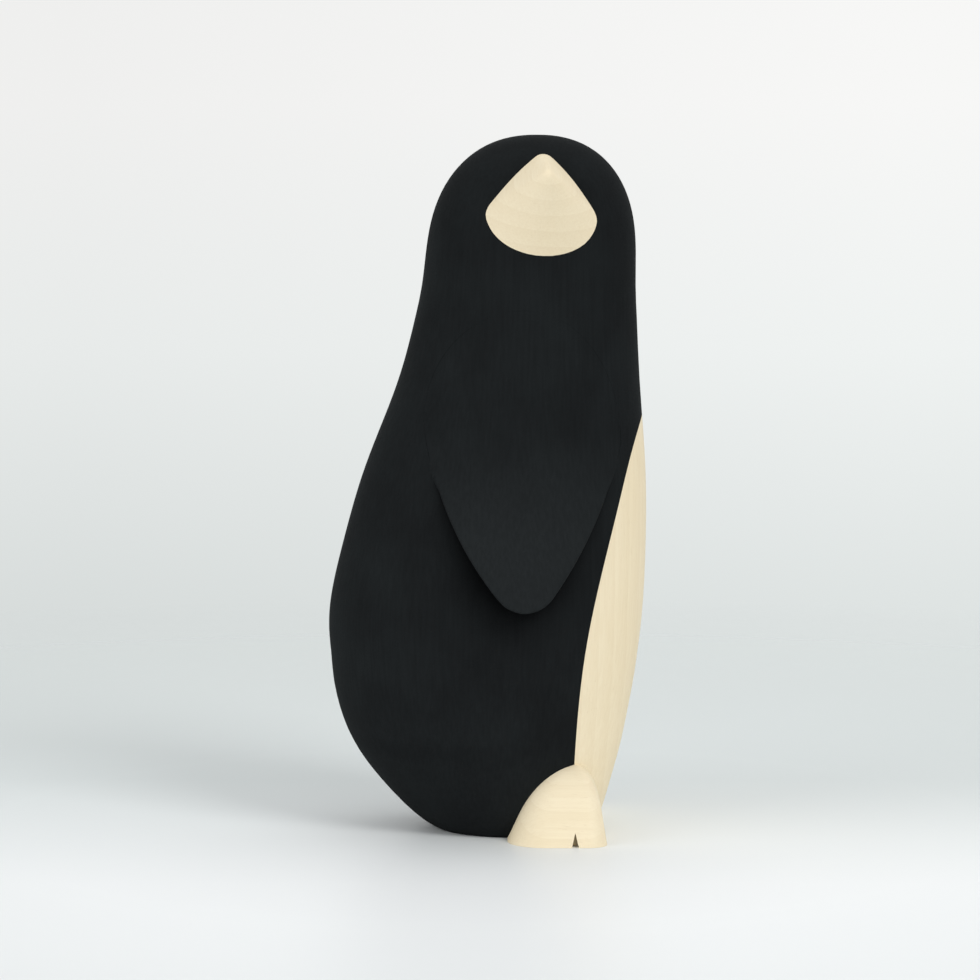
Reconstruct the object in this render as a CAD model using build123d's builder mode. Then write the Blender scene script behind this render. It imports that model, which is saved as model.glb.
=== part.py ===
from build123d import *
from math import cos, pi, radians, sin
import os

# Standing penguin figurine in carved wood, with its head turned to its right.
# Frame: millimetres, origin on the floor under the trunk, +Z up. The belly faces +X and
# the beak faces -Y, turned a little towards +X. The figure's right side is at -Y.

os.makedirs("parts", exist_ok=True)

# Trunk: its three main sizes
trunk_height = 110.0
trunk_depth = 50.0
trunk_width = 41.0

# Level of each station as a share of the trunk's height
heel_height_share = 0.095
rump_height_share = 0.282
flank_height_share = 0.473
neck_height_share = 0.691
nape_height_share = 0.818

# Reach of each station behind and in front of the origin as a share of the trunk's depth
base_back_share = 0.186
base_front_share = 0.34
heel_back_share = 0.388
heel_front_share = 0.404
rump_back_share = 0.508
rump_front_share = 0.48
flank_back_share = 0.428
flank_front_share = 0.499
neck_back_share = 0.259
neck_front_share = 0.472
nape_back_share = 0.2
nape_front_share = 0.462
crown_front_share = 0.15

# Half width of each station as a share of the trunk's width
base_side_share = 0.305
heel_side_share = 0.405
rump_side_share = 0.5
flank_side_share = 0.468
neck_side_share = 0.402
nape_side_share = 0.39

# Share of the neck's slope that is left at the nape, where the dome of the head starts
nape_slope_share = 0.8

# Rounding of the trunk's lower rim: its height, and how far it draws in the base
base_round = 2.2
base_draw_in = 0.95

# Fullness of the domed head: 2 is an ellipse, more is squarer
dome_fullness = 2.3

# Belly block: its depth at each station, and where its upper end runs out
belly_base_depth = 4.1
belly_heel_depth = 6.9
belly_rump_depth = 8.8
belly_flank_depth = 4.85
belly_top_drop = 10.0
belly_runout = 3.0

# Wings
wing_tip_front = 5.6
wing_tip_drop = 14.9
wing_tip_half_width = 4.1
wing_tip_rise = 1.9
wing_back_inset = 6.5
wing_back_rise = 13.3
wing_back_bow = 2.1
wing_front_inset = 4.0
wing_front_rise = 10.0
wing_front_bow = 1.4
wing_top_rise = 31.0
wing_free_rise = 8.0
wing_stand = 6.4
wing_flare_curve = 1.3
wing_spread = 2.0
wing_let_in = 4.0
wing_inner = 6.0

# Beak
head_turn = 84.0
beak_rise = 8.0
beak_sink = 4.0
beak_lift = 22.0
beak_roll = 4.0
beak_half_width = 9.75
beak_corner_drop = 0.8
beak_above = 10.9
beak_below = 9.8
beak_cheek_bow = 1.0
beak_side_round = 3.4
beak_top_round = 2.4
beak_length = 11.7
beak_tip_rise = 2.2
beak_tip_round = 1.2
tenon_diameter = 6.0
tenon_length = 8.0
tenon_overlap = 4.0

# Feet
foot_lead = 1.4
foot_stand = 4.1
foot_length = 15.5
foot_width = 14.7
foot_height = 12.0
foot_squareness = 5.0
foot_lean_share = 0.5
toe_lean_share = 0.36
toe_round = 3.0
heel_round_share = 0.41
ankle_setback = 5.4
ankle_inset = 9.0
notch_from_toe = 5.0
notch_width = 1.1
notch_height = 2.2
notch_depth = 2.4

# Dowels
wing_dowel_diameter = 4.0
wing_dowel_depth = 7.0
wing_dowel_skin = 1.8
wing_dowel_rise = 7.0
wing_dowel_spacing = 12.0
belly_dowel_diameter = 5.0
belly_dowel_depth = 9.0
belly_dowel_skin = 3.0
belly_dowel_rise = 9.5
belly_dowel_spacing = 25.0
foot_dowel_diameter = 4.0
foot_dowel_depth = 6.0
foot_dowel_skin = 2.4
foot_dowel_setback = 7.9
foot_dowel_height = 4.5

# Fits
glue_gap = 0.05
dowel_clearance = 0.05
dowel_end_gap = 0.5

# Heights above the floor
heel_height = heel_height_share * trunk_height
rump_height = rump_height_share * trunk_height
flank_height = flank_height_share * trunk_height
neck_height = neck_height_share * trunk_height
nape_height = nape_height_share * trunk_height
crown_rise = trunk_height - nape_height
wing_tip_height = flank_height - wing_tip_drop
wing_back_height = flank_height + wing_back_rise
wing_front_height = flank_height + wing_front_rise
wing_top_height = flank_height + wing_top_rise
wing_free_height = flank_height + wing_free_rise
beak_height = nape_height + beak_rise
belly_top_height = neck_height - belly_top_drop
beyond = 2 * trunk_height

# The trunk's stations from the floor up to the nape
heights = [0, heel_height, rump_height, flank_height, neck_height, nape_height]
backs = [
    -share * trunk_depth
    for share in (
        base_back_share,
        heel_back_share,
        rump_back_share,
        flank_back_share,
        neck_back_share,
        nape_back_share,
    )
]
fronts = [
    share * trunk_depth
    for share in (
        base_front_share,
        heel_front_share,
        rump_front_share,
        flank_front_share,
        neck_front_share,
        nape_front_share,
    )
]
sides = [
    share * trunk_width
    for share in (
        base_side_share,
        heel_side_share,
        rump_side_share,
        flank_side_share,
        neck_side_share,
        nape_side_share,
    )
]

# The feet reach out past the trunk, and each is highest over its ankle
foot_front = fronts[0] + foot_lead
foot_outer = sides[1] + foot_stand
ankle_front = foot_front - ankle_setback
ankle_out = foot_outer - ankle_inset


def along(values, height):
    """Value at a height on the smooth curve through the stations."""
    spans = [high - low for low, high in zip(heights, heights[1:])]
    chords = [(b - a) / span for a, b, span in zip(values, values[1:], spans)]
    slopes = [0]
    for i in range(1, len(spans)):
        mixed = chords[i - 1] * spans[i] + chords[i] * spans[i - 1]
        slopes.append(mixed / (spans[i - 1] + spans[i]))
    slopes[0] = 2 * chords[0] - slopes[1]
    slopes.append(nape_slope_share * chords[-1])
    i = sum(height > level for level in heights[1:-1])
    t = (height - heights[i]) / spans[i]
    lower = values[i] * (1 + 2 * t) + slopes[i] * spans[i] * t
    upper = values[i + 1] * (3 - 2 * t) - slopes[i + 1] * spans[i] * (1 - t)
    return lower * (1 - t) ** 2 + upper * t**2


def section(height):
    """Centre, half depth and half width of the trunk at a height."""
    if height <= nape_height:
        back = along(backs, height)
        front = along(fronts, height)
        inset = base_draw_in * max(0, 1 - height / base_round) ** 2
        return (front + back) / 2, (front - back) / 2 - inset, along(sides, height) - inset
    rise = (height - nape_height) / crown_rise
    shrink = (1 - rise**dome_fullness) ** (1 / dome_fullness)
    nape_centre = (fronts[-1] + backs[-1]) / 2
    centre = nape_centre + (crown_front_share * trunk_depth - nape_centre) * rise
    return centre, (fronts[-1] - backs[-1]) / 2 * shrink, sides[-1] * shrink


def side_reach(front, height, deeper=0, wider=0):
    """Distance out to the side of a section, grown in depth and width."""
    centre, half_depth, half_width = section(height)
    offset = (front - centre) / (half_depth + deeper)
    return (half_width + wider) * (1 - offset**2) ** 0.5


def wing_flare(height):
    """How much deeper and wider than the trunk the wing's outside is at a height."""
    share = max(0, wing_free_height - height) / (wing_free_height - wing_tip_height)
    return wing_spread * share, wing_stand * share**wing_flare_curve


def wing_seat(height):
    """How much deeper and wider than the trunk the wing's inside is, less than nothing."""
    return -wing_let_in, -wing_let_in


def pocket_floor(height):
    """The wing's inside with room for glue under it."""
    return -wing_let_in - glue_gap, -wing_let_in - glue_gap


def rings(growth):
    """Sections of the trunk at the wing's levels, grown by a rule."""
    sections = []
    for tenth in range(-1, 12):
        level = wing_tip_height + (wing_top_height - wing_tip_height) * tenth / 10
        centre, half_depth, half_width = section(level)
        deeper, wider = growth(level)
        with BuildSketch(Plane.XY.offset(level)) as ring:
            with Locations((centre, 0)):
                Ellipse(half_depth + deeper, half_width + wider)
        sections.append(ring.sketch)
    return sections


def wing_outline(gap):
    """Leaf-shaped outline of the right wing seen from its side, grown by a gap."""
    tip = (wing_tip_front, wing_tip_height - gap)
    tip_level = wing_tip_height + wing_tip_rise
    tip_back = (wing_tip_front - wing_tip_half_width - gap, tip_level)
    tip_front = (wing_tip_front + wing_tip_half_width + gap, tip_level)
    back = (along(backs, wing_back_height) + wing_back_inset - gap, wing_back_height)
    front = (along(fronts, wing_front_height) - wing_front_inset + gap, wing_front_height)
    top = wing_top_height + gap
    with BuildSketch(Plane.XZ.offset(wing_inner)) as outline:
        with BuildLine():
            SagittaArc(back, tip_back, -wing_back_bow)
            ThreePointArc(tip_back, tip, tip_front)
            SagittaArc(tip_front, front, -wing_front_bow)
            EllipticalCenterArc(
                (tip[0], front[1]), front[0] - tip[0], top - front[1], start_angle=0
            )
            EllipticalCenterArc(
                (tip[0], back[1]), tip[0] - back[0], top - back[1], start_angle=90
            )
        make_face()
    return outline.sketch


def foot_taper(share, lean):
    """Scale of one side of the foot at a share of its height: leaning in, then rounded over."""
    return (1 - lean * share) * (1 - share**foot_squareness) ** 0.5


def foot_section(share):
    """Outline of the right foot at a share of its height, drawn in about the ankle."""
    inner = (foot_width - ankle_inset) * foot_taper(share, toe_lean_share)
    outer = ankle_inset * foot_taper(share, foot_lean_share)
    front = ankle_setback * foot_taper(share, toe_lean_share)
    back = (foot_length - ankle_setback) * foot_taper(share, foot_lean_share)
    middle = (ankle_front + (front - back) / 2, -ankle_out + (inner - outer) / 2)
    with BuildSketch(Plane.XY.offset(share * foot_height)) as outline:
        with Locations(middle):
            Rectangle(front + back, inner + outer)
        fillet(outline.vertices().group_by(Axis.X)[-1], toe_round * foot_taper(share, foot_lean_share))
        fillet(outline.vertices().group_by(Axis.X)[0], heel_round_share * (inner + outer))
    return outline.sketch


def beak_section(share):
    """Rounded triangle of the beak at a share of its length, wide below."""
    blunt = beak_tip_round / beak_length
    scale = ((1 - share + blunt) ** 2 - blunt**2) ** 0.5 / (1 + 2 * blunt) ** 0.5
    low = -beak_corner_drop * scale
    half = beak_half_width * scale
    with BuildSketch(beak_plane.offset(share * beak_length)) as outline:
        with Locations((0, share * beak_tip_rise)):
            with BuildSketch(mode=Mode.PRIVATE) as triangle:
                with BuildLine():
                    SagittaArc((half, low), (0, beak_above * scale), -beak_cheek_bow * scale)
                    SagittaArc((0, beak_above * scale), (-half, low), -beak_cheek_bow * scale)
                    ThreePointArc((-half, low), (0, -beak_below * scale), (half, low))
                make_face()
                fillet(triangle.vertices().sort_by(Axis.Y)[-1], beak_top_round * scale)
                fillet(triangle.vertices().sort_by(Axis.Y)[:2], beak_side_round * scale)
            add(triangle.sketch, rotation=-beak_roll)
    return outline.sketch


def pegs(ends, diameter, clearance=0, end_gap=0):
    """Round rods between pairs of ends, grown by a clearance to make their holes."""
    with BuildPart() as rods:
        for start, end in ends:
            way = (end - start).normalized()
            with Locations(Plane(origin=start - way * end_gap, z_dir=way)):
                Cylinder(
                    diameter / 2 + clearance,
                    (end - start).length + 2 * end_gap,
                    align=(Align.CENTER, Align.CENTER, Align.MIN),
                )
    return rods.part


# The beak's base, a plane facing the way the head looks and tilted upwards
turn = radians(head_turn)
lift = radians(beak_lift)
looking = Vector(cos(turn), -sin(turn), 0)
head_centre, head_half_depth, head_half_width = section(beak_height)
face_reach = ((cos(turn) / head_half_depth) ** 2 + (sin(turn) / head_half_width) ** 2) ** -0.5
beak_origin = Vector(head_centre, 0, beak_height) + looking * (face_reach - beak_sink)
beak_plane = Plane(
    origin=beak_origin,
    x_dir=(sin(turn), cos(turn), 0),
    z_dir=looking * cos(lift) + Vector(0, 0, sin(lift)),
)

# The whole trunk and head before anything is let in
with BuildPart() as trunk:
    for i in range(20):
        level = trunk_height * (1 - cos(pi * i / 20)) / 2
        centre, half_depth, half_width = section(level)
        with BuildSketch(Plane.XY.offset(level)):
            with Locations((centre, 0)):
                Ellipse(half_depth, half_width)
    loft(sections=[*trunk.pending_faces, Vertex(crown_front_share * trunk_depth, 0, trunk_height)])

# Everything in front of the belly's curved glue face
belly_top_front = along(fronts, belly_top_height)
with BuildPart() as front_space:
    with BuildSketch(Plane.XZ):
        with BuildLine():
            seam = Spline(
                (fronts[0] - belly_base_depth, 0),
                (fronts[1] - belly_heel_depth, heel_height),
                (fronts[2] - belly_rump_depth, rump_height),
                (fronts[3] - belly_flank_depth, flank_height),
                (belly_top_front, belly_top_height),
                (belly_top_front + belly_runout, belly_top_height + 2 * belly_runout),
            )
            Polyline(
                seam @ 1,
                (beyond, belly_top_height + 2 * belly_runout),
                (beyond, -beyond),
                (fronts[0] - belly_base_depth, -beyond),
                seam @ 0,
            )
        make_face()
    extrude(amount=beyond, both=True)

# Ends of the dowels, each from its blind end in the trunk to its blind end in the piece
wing_pegs = []
for rise in (wing_dowel_rise, wing_dowel_rise + wing_dowel_spacing):
    height = wing_tip_height + rise
    inside = side_reach(wing_tip_front, height, *wing_seat(height)) - wing_dowel_depth
    outside = side_reach(wing_tip_front, height, *wing_flare(height)) - wing_dowel_skin
    for side in (-1, 1):
        start = Vector(wing_tip_front, side * inside, height)
        wing_pegs.append((start, Vector(wing_tip_front, side * outside, height)))

belly_pegs = []
for rise in (belly_dowel_rise, belly_dowel_rise + belly_dowel_spacing):
    height = heel_height + rise
    glue_face = seam.find_intersection_points(Axis((0, height, 0), (1, 0, 0)))[0].X
    start = Vector(glue_face - belly_dowel_depth, 0, height)
    belly_pegs.append((start, Vector(along(fronts, height) - belly_dowel_skin, 0, height)))

foot_pegs = []
foot_dowel_front = foot_front - foot_dowel_setback
trunk_side = side_reach(foot_dowel_front, foot_dowel_height)
foot_side = ankle_out + ankle_inset * foot_taper(foot_dowel_height / foot_height, foot_lean_share)
for side in (-1, 1):
    start = Vector(foot_dowel_front, side * (trunk_side - foot_dowel_depth), foot_dowel_height)
    end = Vector(foot_dowel_front, side * (foot_side - foot_dowel_skin), foot_dowel_height)
    foot_pegs.append((start, end))

wing_holes = pegs(wing_pegs, wing_dowel_diameter, dowel_clearance, dowel_end_gap)
belly_holes = pegs(belly_pegs, belly_dowel_diameter, dowel_clearance, dowel_end_gap)
foot_holes = pegs(foot_pegs, foot_dowel_diameter, dowel_clearance, dowel_end_gap)

# The beak's tenon, from its end in the head to well inside the beak
tenon_ends = [(beak_plane.offset(-tenon_length).origin, beak_plane.offset(tenon_overlap).origin)]

# Pocket for the right wing, wider than the wing by the glue around it
with BuildPart() as wing_pocket:
    extrude(wing_outline(glue_gap), amount=beyond)
    loft(sections=rings(pocket_floor), mode=Mode.SUBTRACT)

with BuildPart() as body:
    add(trunk.part)
    add(front_space.part, mode=Mode.SUBTRACT)
    add(wing_pocket.part, mode=Mode.SUBTRACT)
    mirror(wing_pocket.part, about=Plane.XZ, mode=Mode.SUBTRACT)
    add(pegs(tenon_ends, tenon_diameter, dowel_clearance, dowel_end_gap), mode=Mode.SUBTRACT)
    for holes in (wing_holes, belly_holes, foot_holes):
        add(holes, mode=Mode.SUBTRACT)

with BuildPart() as belly:
    add(trunk.part)
    add(front_space.part, mode=Mode.INTERSECT)
    add(belly_holes, mode=Mode.SUBTRACT)

# Wings: let into the flank, flush with it above and standing free of it at the tip
with BuildPart() as right_wing:
    loft(sections=rings(wing_flare))
    loft(sections=rings(wing_seat), mode=Mode.SUBTRACT)
    extrude(wing_outline(0), amount=beyond, mode=Mode.INTERSECT)
    add(wing_holes, mode=Mode.SUBTRACT)

with BuildPart() as left_wing:
    mirror(right_wing.part, about=Plane.XZ)

# Beak: coped to the round of the head and held by its own tenon
with BuildPart() as beak:
    tip = beak_plane.offset(beak_length).origin + beak_plane.y_dir * beak_tip_rise
    outlines = [beak_section(share) for share in (0, 0.8, 0.9, 0.95, 0.985)]
    loft(sections=[*outlines, Vertex(*tip)], ruled=True)
    add(trunk.part, mode=Mode.SUBTRACT)
    add(pegs(tenon_ends, tenon_diameter))

# The cuts between the toes: the upright face each starts from and where along it
toe_cuts = [
    (Plane.XZ.offset(foot_outer), foot_front - notch_from_toe),
    (Plane.YZ.offset(foot_front), notch_from_toe - foot_outer),
]

# Feet: coped to the trunk, with cuts between the toes on the outer and the front side
with BuildPart() as right_foot:
    outlines = [foot_section(share) for share in (0, 0.2, 0.4, 0.6, 0.75, 0.87, 0.95)]
    loft(sections=[*outlines, Vertex(ankle_front, -ankle_out, foot_height)])
    add(trunk.part, mode=Mode.SUBTRACT)
    for face, middle in toe_cuts:
        with BuildSketch(face):
            with BuildLine():
                Polyline(
                    (middle - notch_width / 2, 0),
                    (middle, notch_height),
                    (middle + notch_width / 2, 0),
                    close=True,
                )
            make_face()
        extrude(amount=-notch_depth, mode=Mode.SUBTRACT)
    add(foot_holes, mode=Mode.SUBTRACT)

with BuildPart() as left_foot:
    mirror(right_foot.part, about=Plane.XZ)

with BuildPart() as wing_dowels:
    add(pegs(wing_pegs, wing_dowel_diameter))

with BuildPart() as belly_dowels:
    add(pegs(belly_pegs, belly_dowel_diameter))

with BuildPart() as foot_dowels:
    add(pegs(foot_pegs, foot_dowel_diameter))

body.part.label = "body"
belly.part.label = "belly"
right_wing.part.label = "right_wing"
left_wing.part.label = "left_wing"
beak.part.label = "beak"
right_foot.part.label = "right_foot"
left_foot.part.label = "left_foot"
wing_dowels.part.label = "wing_dowels"
belly_dowels.part.label = "belly_dowels"
foot_dowels.part.label = "foot_dowels"

for piece in (body, belly, right_wing, left_wing, beak, right_foot, left_foot):
    export_step(piece.part, f"parts/{piece.part.label}.step")
for piece in (wing_dowels, belly_dowels, foot_dowels):
    export_step(piece.part, f"parts/{piece.part.label}.step")
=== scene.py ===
import math

import bmesh
import bpy
import numpy as np
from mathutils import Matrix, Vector
from mathutils.bvhtree import BVHTree


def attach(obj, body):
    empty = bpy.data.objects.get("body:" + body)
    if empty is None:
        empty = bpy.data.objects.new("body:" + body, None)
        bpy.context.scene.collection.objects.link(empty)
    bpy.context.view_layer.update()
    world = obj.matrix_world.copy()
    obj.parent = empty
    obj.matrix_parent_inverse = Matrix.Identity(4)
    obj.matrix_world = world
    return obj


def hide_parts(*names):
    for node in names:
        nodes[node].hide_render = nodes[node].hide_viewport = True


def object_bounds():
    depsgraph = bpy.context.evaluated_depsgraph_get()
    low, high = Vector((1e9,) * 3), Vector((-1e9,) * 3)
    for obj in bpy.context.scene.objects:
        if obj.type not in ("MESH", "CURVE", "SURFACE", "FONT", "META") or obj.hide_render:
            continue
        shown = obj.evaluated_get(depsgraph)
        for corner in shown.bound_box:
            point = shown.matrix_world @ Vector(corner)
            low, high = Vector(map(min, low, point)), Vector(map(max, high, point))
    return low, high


# Carved wooden penguin: painted coat, bare wood belly, beak and feet, on a pale studio floor.
# Lengths are in metres where nothing else is said.

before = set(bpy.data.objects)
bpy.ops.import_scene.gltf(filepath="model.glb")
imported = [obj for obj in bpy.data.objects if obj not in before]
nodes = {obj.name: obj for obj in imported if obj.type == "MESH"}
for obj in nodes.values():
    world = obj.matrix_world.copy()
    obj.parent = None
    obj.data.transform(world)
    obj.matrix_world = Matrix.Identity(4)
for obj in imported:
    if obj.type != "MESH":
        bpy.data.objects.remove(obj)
cad_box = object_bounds()

# Camera, with its lens and sensor in millimetres
CAMERA_PLACE = (0.0, -0.650, 0.115)
CAMERA_AIM = (0.00016, 0.0, 0.0538)
CAMERA_LENS = 151.06
CAMERA_SENSOR = 36.0
CAMERA_NEAREST = 0.01
CAMERA_FARTHEST = 50.0

# Lamps: place, side of the square and watts of each, and the point that all of them face
LAMPS = {
    "key": ((0.54, -0.65, 0.62), 0.40, 4.2),
    "fill": ((-0.80, -0.50, 0.32), 0.80, 3.6),
    "top": ((0.10, 0.30, 1.00), 0.70, 1.3),
}
LAMP_AIM = (0.0, 0.0, 0.05)
AMBIENT = 0.53
AMBIENT_COLOUR = (0.96, 0.98, 1.0, 1.0)

# Floor: half its width, how far it lies under the figure, its colour by its depth, with painted
# shade in a band behind the figure, and the distances between which it melts away
FLOOR_HALF = 6.0
FLOOR_DROP = 0.00002
FLOOR_TONES = [
    (-0.05, (251, 253, 253)),
    # Painted shade, where a paper sweep would bend away from the light
    (0.045, (226, 232, 231)),
    (0.30, (232, 238, 236)),
]
FLOOR_FADE = (0.08, 0.30)

# Floor's slight gloss, and its tooth: bumps per millimetre, then their depth and strength
FLOOR_ROUGHNESS = 0.45
FLOOR_SPECULAR = 0.25
FLOOR_TOOTH = 1.2
FLOOR_RELIEF = (0.00002, 0.2)

# Backdrop colour by the height of the line of sight, with painted shade low down, and how painted
# shade darkens it to the left
BACKDROP_TONES = [
    (-0.156, (213, 219, 218)),
    (-0.060, (239, 242, 241)),
    (0.0, (247, 247, 246)),
]
BACKDROP_REACH = 0.10
BACKDROP_LEFT = 0.93

# Softened pieces: the size of their faces, and the rounds and strength of the softening
WING_VOXEL = 0.0003
WING_ROUNDS = 5
BEAK_VOXEL = 0.0002
BEAK_ROUNDS = 6
EASE_STEP = 0.5
SHARP_ANGLE = math.radians(50)
WELD_REACH = 1e-7

# Wing joint: the heights between which paint closes it, how far the wing's edge grows there,
# how near it is drawn to the faces on both sides of the joint, and how far it dips under the body's
JOINT_OPEN = 0.055
JOINT_CLOSED = 0.059
JOINT_FILL = 0.0008
JOINT_NEAR = 0.0009
JOINT_DIP = 0.00002

# How far a face looks out to the side: less than the first is the wing's edge and more than the
# second its outside, and faces past the last one are what the joint is drawn to
EDGE_FACING = 1 / 3
OUTSIDE_FACING = 3 / 4
OUTER_FACING = 0.4

# Least length that a direction is divided by
SHORTEST = 1e-6

# Point where the beak's sides would meet, and how far they are carried on into the head
BEAK_APEX = (0.00927, -0.0218, 0.1049)
BEAK_ROOT = 1.08

# Colours as they look on a screen, each channel from 0 to 255
# Painted shade: the coat's colour where corners and the wing's edge hide the surroundings
COAT_PAINTED_SHADE = (8, 9, 10)
COAT_DEEP = (24, 26, 27)
COAT_WORN = (29, 32, 33)
# Paler coat that paints the light caught by the wings' free lower part
COAT_PAINTED_LIGHT = (35, 38, 39)
WOOD_TONES = ((246, 233, 204), (233, 216, 182), (212, 190, 152))
DOWEL_TONES = ((214, 188, 150), (190, 158, 118), (160, 126, 90))

# Noises: how many ever finer layers they have, and which of their values are spread out
ROUGH_DETAIL = 1.0
PLAIN_DETAIL = 2.0
FINE_DETAIL = 3.0
FIBRE_DETAIL = 4.0
PLAIN_ROUGHNESS = 0.5
FIBRE_ROUGHNESS = 0.6
NOISE_SPREAD = (0.3, 0.7)

# Scale from metres to millimetres
MILLIMETRES = (1000, 1000, 1000)

# Paint: its grain per metre, its stipple and clouds per millimetre, and its looks
COAT_GRAIN = (2200, 2200, 90)
COAT_STIPPLE = 3.5
COAT_CLOUD = 0.09
COAT_STREAK_SPREAD = (0.35, 0.65)
COAT_STREAKS = (0.93, 1.07)
COAT_ROUGHNESS = (0.72, 0.86)
COAT_SPECULAR = 0.03
COAT_RELIEF = (0.00003, 0.4)

# Painted shade in corners and under the wing's edge, put into the coat's colour: how far a corner
# reaches, how open it is at its bottom and at its end, the heights above the floor between which
# this sets in, and the rays that feel for it
PAINTED_SHADE_REACH = 0.016
PAINTED_SHADE_OPEN = (0.6, 0.99)
PAINTED_SHADE_HEIGHTS = (0.012, 0.024)
PAINTED_SHADE_RAYS = 8

# Painted light: a paler coat low down on a piece, for the light that a wing's free, upturned part
# catches; how much on each piece, and the heights between which it ends
BODY_PAINTED_LIGHT = 0.0
WING_PAINTED_LIGHT = 0.8
PAINTED_LIGHT_HEIGHTS = (0.048, 0.064)

# Bare wood, per millimetre across and along the grain
WOOD_WANDER = (0.06, 0.06, 0.015)
WOOD_FIBRE = (2.6, 2.6, 0.09)
WOOD_FLECK = (7.0, 7.0, 0.7)
WOOD_RINGS = {"Scale": 0.12, "Distortion": 2.2, "Detail": 2.0, "Detail Scale": 0.25}

# Bare wood: how strongly its rings, fibres and flecks show, and its looks
WOOD_RING_SHARE = 0.3
WOOD_FIBRE_SPREAD = (0.3, 0.75)
WOOD_FIBRE_SHARE = 0.45
WOOD_FLECK_SPREAD = (0.66, 0.78)
WOOD_FLECK_SHARE = 0.3
WOOD_WHITE = (1.0, 1.0, 1.0, 1.0)
WOOD_WARM = (0.96, 0.94, 0.9, 1.0)
WOOD_ROUGHNESS = (0.5, 0.66)
WOOD_SPECULAR = 0.3
WOOD_FIBRE_RELIEF = (0.00004, 0.5)
WOOD_FLECK_RELIEF = (0.00003, 0.3)

# Grain of the bare pieces: how it is turned from upright, and its pith's place in millimetres
UPRIGHT = (0, 0, 0)
BELLY_PITH = (30, 18, 0)
BEAK_TURN = (math.radians(68), 0, 0)
BEAK_PITH = (4, -6, 0)
FOOT_TURN = (0, math.radians(90), 0)
FOOT_PITH = (20, 5, 0)
DOWEL_TURN = (math.radians(90), 0, 0)
DOWEL_PITH = (0, 0, 0)


def linear(colour):
    """Screen colour, in sRGB, as the linear colour that a shader takes."""
    shares = [channel / 255 for channel in colour]
    return (*[((s + 0.055) / 1.055) ** 2.4 if s > 0.04 else s / 12.92 for s in shares], 1.0)


def add_node(tree, kind, inputs=None, **settings):
    """New shader node with its settings, and its inputs set to values or linked."""
    made = tree.nodes.new(kind)
    for name, value in settings.items():
        setattr(made, name, value)
    for name, value in (inputs or {}).items():
        if isinstance(value, bpy.types.NodeSocket):
            tree.links.new(value, made.inputs[name])
        else:
            made.inputs[name].default_value = value
    return made


def add_ramp(tree, factor, stops):
    """Colour ramp through pairs of place and colour."""
    ramp = add_node(tree, "ShaderNodeValToRGB", {"Fac": factor})
    elements = ramp.color_ramp.elements
    while len(elements) < len(stops):
        elements.new(1.0)
    for element, (place, colour) in zip(elements, stops):
        element.position = place
        element.color = colour
    return ramp.outputs["Color"]


def add_scale(tree, value, tones):
    """Screen colours that follow a value, given as pairs of value and colour."""
    low, high = tones[0][0], tones[-1][0]
    stops = [((place - low) / (high - low), linear(colour)) for place, colour in tones]
    return add_ramp(tree, add_range(tree, value, low, high, 0.0, 1.0), stops)


def add_mix(tree, factor, first, second, blend="MIX"):
    """Mix of two colours."""
    inputs = {0: factor, 6: first, 7: second}
    return add_node(tree, "ShaderNodeMix", inputs, data_type="RGBA", blend_type=blend).outputs[2]


def add_shade(tree, colour, share):
    """Colour made darker or paler by a share."""
    grey = add_node(tree, "ShaderNodeCombineColor", {"Red": share, "Green": share, "Blue": share})
    return add_mix(tree, 1.0, colour, grey.outputs["Color"], "MULTIPLY")


def add_range(tree, value, low, high, to_low, to_high):
    """Value moved from one range to another and kept inside it."""
    moved = add_node(
        tree,
        "ShaderNodeMapRange",
        {"Value": value, "From Min": low, "From Max": high, "To Min": to_low, "To Max": to_high},
    )
    return moved.outputs["Result"]


def add_larger(tree, first, second):
    """The larger one of two values."""
    return add_node(tree, "ShaderNodeMath", {0: first, 1: second}, operation="MAXIMUM").outputs[0]


def add_split(tree, vector, axis):
    """One part of a vector."""
    return add_node(tree, "ShaderNodeSeparateXYZ", {"Vector": vector}).outputs[axis]


def add_mapping(tree, place, scale, turn=(0, 0, 0), shift=(0, 0, 0)):
    """Coordinates moved, turned and scaled for one texture."""
    mapping = add_node(
        tree,
        "ShaderNodeMapping",
        {"Vector": place, "Location": shift, "Rotation": turn, "Scale": scale},
    )
    return mapping.outputs["Vector"]


def add_noise(tree, place, scale=1.0, detail=PLAIN_DETAIL, roughness=PLAIN_ROUGHNESS):
    """Soft noise with its value between 0 and 1."""
    noise = add_node(
        tree,
        "ShaderNodeTexNoise",
        {"Vector": place, "Scale": scale, "Detail": detail, "Roughness": roughness},
    )
    return noise.outputs["Fac"]


def add_bump(tree, height, relief, normal=None):
    """Small relief, given as its depth and strength, on top of another one or alone."""
    depth, strength = relief
    inputs = {"Height": height, "Distance": depth, "Strength": strength}
    if normal:
        inputs["Normal"] = normal
    return add_node(tree, "ShaderNodeBump", inputs).outputs["Normal"]


def new_material(name, specular):
    """Procedural material without a pattern, with its tree, its shader and its coordinates."""
    material = bpy.data.materials.new(name)
    material.use_nodes = True
    tree = material.node_tree
    shader = tree.nodes["Principled BSDF"]
    shader.inputs["Specular IOR Level"].default_value = specular
    place = add_node(tree, "ShaderNodeTexCoord").outputs["Object"]
    return material, tree, shader, place


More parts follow.
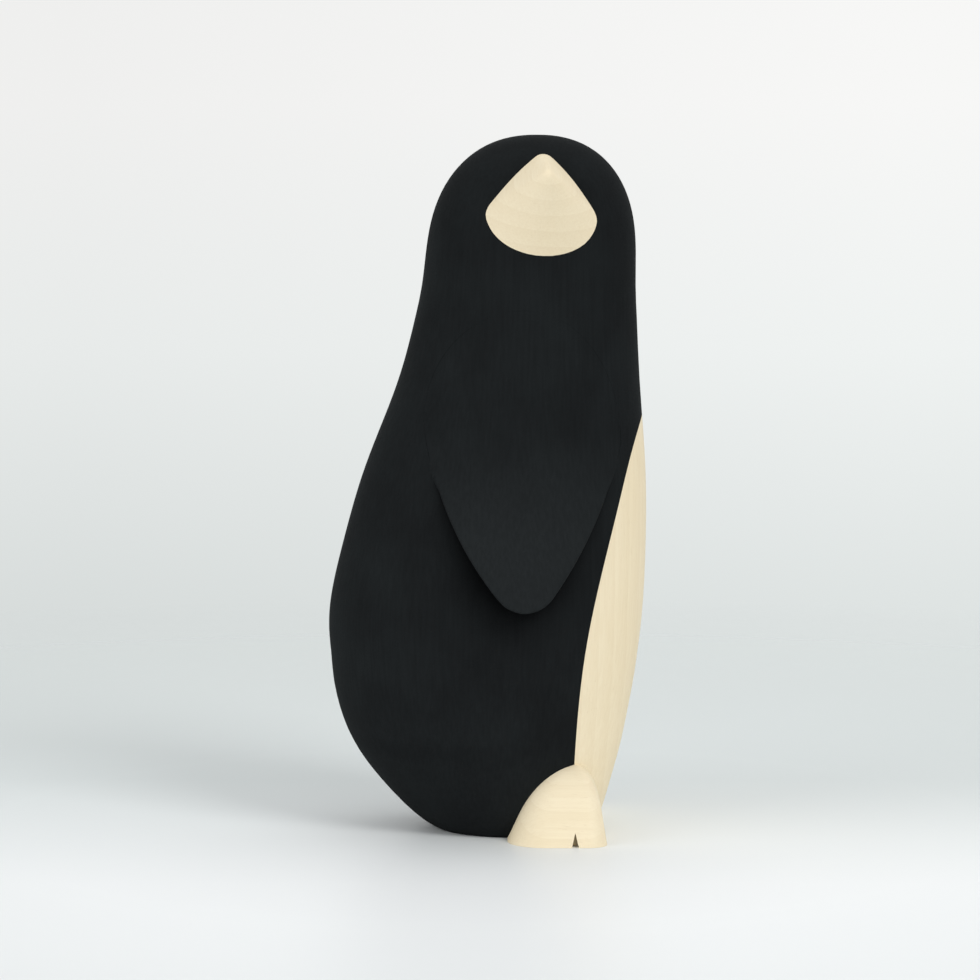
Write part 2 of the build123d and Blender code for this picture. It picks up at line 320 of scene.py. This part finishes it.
def painted_wood(name, painted_light):
    """Matt charcoal paint, with the upright grain of the wood showing faintly through it, painted
    shade in its corners and painted light on the free lower part of pieces that take it.
    """
    material, tree, shader, place = new_material(name, COAT_SPECULAR)
    spot = add_mapping(tree, place, MILLIMETRES)
    height = add_split(tree, place, "Z")
    grain = add_noise(tree, add_mapping(tree, place, COAT_GRAIN), detail=FINE_DETAIL)
    stipple = add_noise(tree, spot, COAT_STIPPLE)
    cloud = add_noise(tree, spot, COAT_CLOUD, FINE_DETAIL)
    worn = add_range(tree, cloud, *NOISE_SPREAD, 0.0, 1.0)
    coat = add_mix(tree, worn, linear(COAT_DEEP), linear(COAT_WORN))
    # Painted light: the coat turns paler low down, by the piece's share, for the light its free part
    # catches
    painted_light_share = add_range(tree, height, *PAINTED_LIGHT_HEIGHTS, painted_light, 0.0)
    coat = add_mix(tree, painted_light_share, coat, linear(COAT_PAINTED_LIGHT))
    # Painted shade: the coat turns to the dark corner colour where ambient occlusion finds the
    # surroundings hidden, except near the floor
    corner = add_node(
        tree,
        "ShaderNodeAmbientOcclusion",
        {"Distance": PAINTED_SHADE_REACH},
        samples=PAINTED_SHADE_RAYS,
    )
    unshaded_share = add_range(tree, corner.outputs["AO"], *PAINTED_SHADE_OPEN, 0.0, 1.0)
    near_floor = add_range(tree, height, *PAINTED_SHADE_HEIGHTS, 1.0, 0.0)
    coat = add_mix(tree, add_larger(tree, unshaded_share, near_floor), linear(COAT_PAINTED_SHADE), coat)
    streak = add_range(tree, grain, *COAT_STREAK_SPREAD, *COAT_STREAKS)
    roughness = add_range(tree, stipple, *NOISE_SPREAD, *COAT_ROUGHNESS)
    relief = add_bump(tree, stipple, COAT_RELIEF, add_bump(tree, grain, COAT_RELIEF))
    tree.links.new(add_shade(tree, coat, streak), shader.inputs["Base Color"])
    tree.links.new(roughness, shader.inputs["Roughness"])
    tree.links.new(relief, shader.inputs["Normal"])
    return material


def bare_wood(name, tones, turn, pith):
    """Sanded wood with growth rings round its pith, fibres along the grain and fine pores."""
    pale, late, pore = [linear(tone) for tone in tones]
    material, tree, shader, place = new_material(name, WOOD_SPECULAR)
    along = add_mapping(tree, place, MILLIMETRES, turn, pith)
    wander = add_noise(tree, add_mapping(tree, along, WOOD_WANDER))
    rings = add_node(
        tree,
        "ShaderNodeTexWave",
        {"Vector": along, **WOOD_RINGS},
        wave_type="RINGS",
        rings_direction="Z",
        wave_profile="SAW",
    )
    fibre_place = add_mapping(tree, along, WOOD_FIBRE)
    fibre = add_noise(tree, fibre_place, detail=FIBRE_DETAIL, roughness=FIBRE_ROUGHNESS)
    fleck = add_noise(tree, add_mapping(tree, along, WOOD_FLECK), detail=ROUGH_DETAIL)
    ring_share = add_range(tree, rings.outputs["Fac"], 0.0, 1.0, 0.0, WOOD_RING_SHARE)
    fibre_share = add_range(tree, fibre, *WOOD_FIBRE_SPREAD, 0.0, WOOD_FIBRE_SHARE)
    fleck_share = add_range(tree, fleck, *WOOD_FLECK_SPREAD, 0.0, WOOD_FLECK_SHARE)
    base = add_mix(tree, ring_share, pale, late)
    base = add_mix(tree, fibre_share, base, late)
    base = add_mix(tree, fleck_share, base, pore)
    warm_share = add_range(tree, wander, *NOISE_SPREAD, 0.0, 1.0)
    colour = add_mix(tree, 1.0, base, add_mix(tree, warm_share, WOOD_WHITE, WOOD_WARM), "MULTIPLY")
    roughness = add_range(tree, fibre, *NOISE_SPREAD, *WOOD_ROUGHNESS)
    relief = add_bump(tree, fleck, WOOD_FLECK_RELIEF, add_bump(tree, fibre, WOOD_FIBRE_RELIEF))
    tree.links.new(colour, shader.inputs["Base Color"])
    tree.links.new(roughness, shader.inputs["Roughness"])
    tree.links.new(relief, shader.inputs["Normal"])
    return material


def floor_material(name):
    """Pale studio paper with painted shade in a band behind the figure, that melts into the backdrop.
    """
    material, tree, shader, place = new_material(name, FLOOR_SPECULAR)
    shade = add_scale(tree, add_split(tree, place, "Y"), FLOOR_TONES)
    tooth = add_noise(tree, add_mapping(tree, place, MILLIMETRES), FLOOR_TOOTH, FINE_DETAIL)
    away = add_node(tree, "ShaderNodeVectorMath", {0: place}, operation="LENGTH").outputs["Value"]
    shader.inputs["Roughness"].default_value = FLOOR_ROUGHNESS
    tree.links.new(shade, shader.inputs["Base Color"])
    tree.links.new(add_bump(tree, tooth, FLOOR_RELIEF), shader.inputs["Normal"])
    tree.links.new(add_range(tree, away, *FLOOR_FADE, 1.0, 0.0), shader.inputs["Alpha"])
    return material


def add_object(name, data, place=(0, 0, 0), aim=None):
    """New object in the scene, at a place and facing a point."""
    made = bpy.data.objects.new(name, data)
    bpy.context.scene.collection.objects.link(made)
    made.location = place
    if aim:
        sight = Vector(aim) - Vector(place)
        made.rotation_euler = sight.to_track_quat("-Z", "Y").to_euler()
    return made


def set_camera():
    """Camera where the photograph was taken from."""
    data = bpy.data.cameras.new("camera")
    data.sensor_width = CAMERA_SENSOR
    data.lens = CAMERA_LENS
    data.clip_start = CAMERA_NEAREST
    data.clip_end = CAMERA_FARTHEST
    bpy.context.scene.camera = add_object("camera", data, CAMERA_PLACE, CAMERA_AIM)


def set_floor():
    """Wide pale floor."""
    half = FLOOR_HALF
    mesh = bpy.data.meshes.new("floor")
    corners = [(-half, -half, 0), (half, -half, 0), (half, half, 0), (-half, half, 0)]
    mesh.from_pydata(corners, [], [(0, 1, 2, 3)])
    mesh.materials.append(floor_material("studio_paper"))
    floor = add_object("floor", mesh, (0, 0, -FLOOR_DROP))


def add_lamp(name, place, size, watts):
    """Square soft light facing the figure."""
    data = bpy.data.lights.new(name, "AREA")
    data.shape = "SQUARE"
    data.size = size
    data.energy = watts
    add_object(name, data, place, LAMP_AIM)


def add_backdrop(tree):
    """Backdrop that the camera sees, with painted shade that makes it darker downwards and to the
    left.
    """
    way = add_node(tree, "ShaderNodeTexCoord").outputs["Generated"]
    tone = add_scale(tree, add_split(tree, way, "Z"), BACKDROP_TONES)
    across = add_split(tree, way, "X")
    side = add_range(tree, across, -BACKDROP_REACH, BACKDROP_REACH, BACKDROP_LEFT, 1.0)
    return add_node(tree, "ShaderNodeBackground", {"Color": add_shade(tree, tone, side)})


def set_light():
    """Even pale surroundings, a soft key light from the upper right front, and two weaker lights."""
    world = bpy.data.worlds.new("studio")
    world.use_nodes = True
    tree = world.node_tree
    light = tree.nodes["Background"]
    light.inputs["Color"].default_value = AMBIENT_COLOUR
    light.inputs["Strength"].default_value = AMBIENT
    seen = add_backdrop(tree)
    path = add_node(tree, "ShaderNodeLightPath").outputs
    eye = add_larger(tree, path["Is Camera Ray"], path["Is Glossy Ray"])
    eye = add_larger(tree, eye, path["Is Transmission Ray"])
    mixed = add_node(tree, "ShaderNodeMixShader", {0: eye, 1: light.outputs[0], 2: seen.outputs[0]})
    tree.links.new(mixed.outputs[0], tree.nodes["World Output"].inputs["Surface"])
    bpy.context.scene.world = world
    for name, (place, size, watts) in LAMPS.items():
        add_lamp(name, place, size, watts)


def welded(node):
    """Copy of a node's mesh with the corners that were split at its edges joined."""
    mesh = node.data.copy()
    form = bmesh.new()
    form.from_mesh(mesh)
    bmesh.ops.remove_doubles(form, verts=form.verts, dist=WELD_REACH)
    form.to_mesh(mesh)
    form.free()
    return mesh


def remeshed(mesh, voxel):
    """The same closed shape in even quads."""
    holder = add_object("holder", mesh)
    even = holder.modifiers.new("even", "REMESH")
    even.mode = "VOXEL"
    even.voxel_size = voxel
    seen = holder.evaluated_get(bpy.context.evaluated_depsgraph_get())
    result = bpy.data.meshes.new_from_object(seen)
    bpy.data.objects.remove(holder)
    bpy.data.meshes.remove(mesh)
    return result


def read_points(mesh):
    """Corners of a mesh and their normals, as rows of numbers."""
    points = np.empty(len(mesh.vertices) * 3)
    mesh.vertices.foreach_get("co", points)
    normals = np.empty(len(mesh.vertices) * 3)
    mesh.vertices.foreach_get("normal", normals)
    return points.reshape(-1, 3), normals.reshape(-1, 3)


def eased(mesh, rounds):
    """Corners of a mesh moved step by step towards the middle of their neighbours."""
    points, _ = read_points(mesh)
    edges = np.empty(len(mesh.edges) * 2, dtype=np.int64)
    mesh.edges.foreach_get("vertices", edges)
    first, second = edges.reshape(-1, 2).T
    count = len(points)
    ties = np.bincount(first, minlength=count) + np.bincount(second, minlength=count)
    for _ in range(rounds):
        for axis in range(3):
            line = points[:, axis]
            around = np.bincount(first, line[second], count) + np.bincount(second, line[first], count)
            points[:, axis] = line + EASE_STEP * (around / ties - line)
    return points


def dress(piece, material):
    """Gives a piece its one material."""
    piece.data.materials.clear()
    piece.data.materials.append(material)


def softened(name, mesh, points, material):
    """Piece with softened edges that stands for a node, in the same place."""
    mesh.name = name + "_soft"
    mesh.vertices.foreach_set("co", np.clip(points, *cad_box).ravel())
    mesh.update()
    mesh.shade_smooth()
    mesh.set_sharp_from_angle(angle=SHARP_ANGLE)
    piece = add_object(name + "_soft", mesh)
    dress(piece, material)
    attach(piece, "root")
    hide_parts(name)


def outer_faces(node, side):
    """Faces of a node that look out to one side, for finding the nearest point on them."""
    corners = [corner.co for corner in node.data.vertices]
    faces = [face.vertices[:] for face in node.data.polygons if face.normal.y * side > OUTER_FACING]
    return BVHTree.FromPolygons(corners, faces)


def close_joint(mesh, eased_points, wing_faces, body_faces):
    """Wing's edge where it lies flush, spread over the joint as the paint on it is."""
    points, normals = read_points(mesh)
    flush = np.clip((points[:, 2] - JOINT_OPEN) / (JOINT_CLOSED - JOINT_OPEN), 0, 1)
    across = normals * (1, 0, 1)
    across /= np.maximum(np.linalg.norm(across, axis=1), SHORTEST)[:, None]
    facing = np.abs(normals[:, 1])
    edge = np.clip((OUTSIDE_FACING - facing) / (OUTSIDE_FACING - EDGE_FACING), 0, 1)
    points += across * (JOINT_FILL * edge)[:, None]
    for place in np.flatnonzero(flush):
        point = Vector(points[place])
        on_wing, _, _, to_wing = wing_faces.find_nearest(point, JOINT_NEAR)
        on_body, outward, _, to_body = body_faces.find_nearest(point, JOINT_NEAR)
        if on_body and (not on_wing or to_body < to_wing):
            points[place] = on_body - outward * JOINT_DIP
        elif on_wing:
            points[place] = on_wing
    return eased_points + (points - eased_points) * flush[:, None]


def carry_on(mesh):
    """Adds a copy of the beak grown about its apex, which carries its sides on into the head."""
    apex = Vector(BEAK_APEX)
    form = bmesh.new()
    form.from_mesh(mesh)
    grown = bmesh.ops.duplicate(form, geom=form.verts[:] + form.edges[:] + form.faces[:])
    for part in grown["geom"]:
        if isinstance(part, bmesh.types.BMVert):
            part.co = apex + (part.co - apex) * BEAK_ROOT
    form.to_mesh(mesh)
    form.free()
    return mesh


set_camera()
set_floor()
set_light()

# Pieces that keep their shape
dress(nodes["body"], painted_wood("painted_wood", BODY_PAINTED_LIGHT))
dress(nodes["belly"], bare_wood("belly_wood", WOOD_TONES, UPRIGHT, BELLY_PITH))
foot_wood = bare_wood("foot_wood", WOOD_TONES, FOOT_TURN, FOOT_PITH)
for name in ("right_foot", "left_foot"):
    dress(nodes[name], foot_wood)
for name in ("wing_dowels", "belly_dowels", "foot_dowels"):
    dress(nodes[name], bare_wood(f"{name}_wood", DOWEL_TONES, DOWEL_TURN, DOWEL_PITH))

# Pieces with softened edges
# The wings' coat is a copy of the paint with painted light on their free lower part
wing_coat = painted_wood("wing_paint", WING_PAINTED_LIGHT)
for name, side in (("right_wing", -1), ("left_wing", 1)):
    wing = remeshed(welded(nodes[name]), WING_VOXEL)
    faces = outer_faces(nodes[name], side), outer_faces(nodes["body"], side)
    points = close_joint(wing, eased(wing, WING_ROUNDS), *faces)
    softened(name, wing, points, wing_coat)
beak = remeshed(carry_on(welded(nodes["beak"])), BEAK_VOXEL)
beak_wood = bare_wood("beak_wood", WOOD_TONES, BEAK_TURN, BEAK_PITH)
softened("beak", beak, eased(beak, BEAK_ROUNDS), beak_wood)

bpy.context.scene.view_settings.view_transform = "Standard"
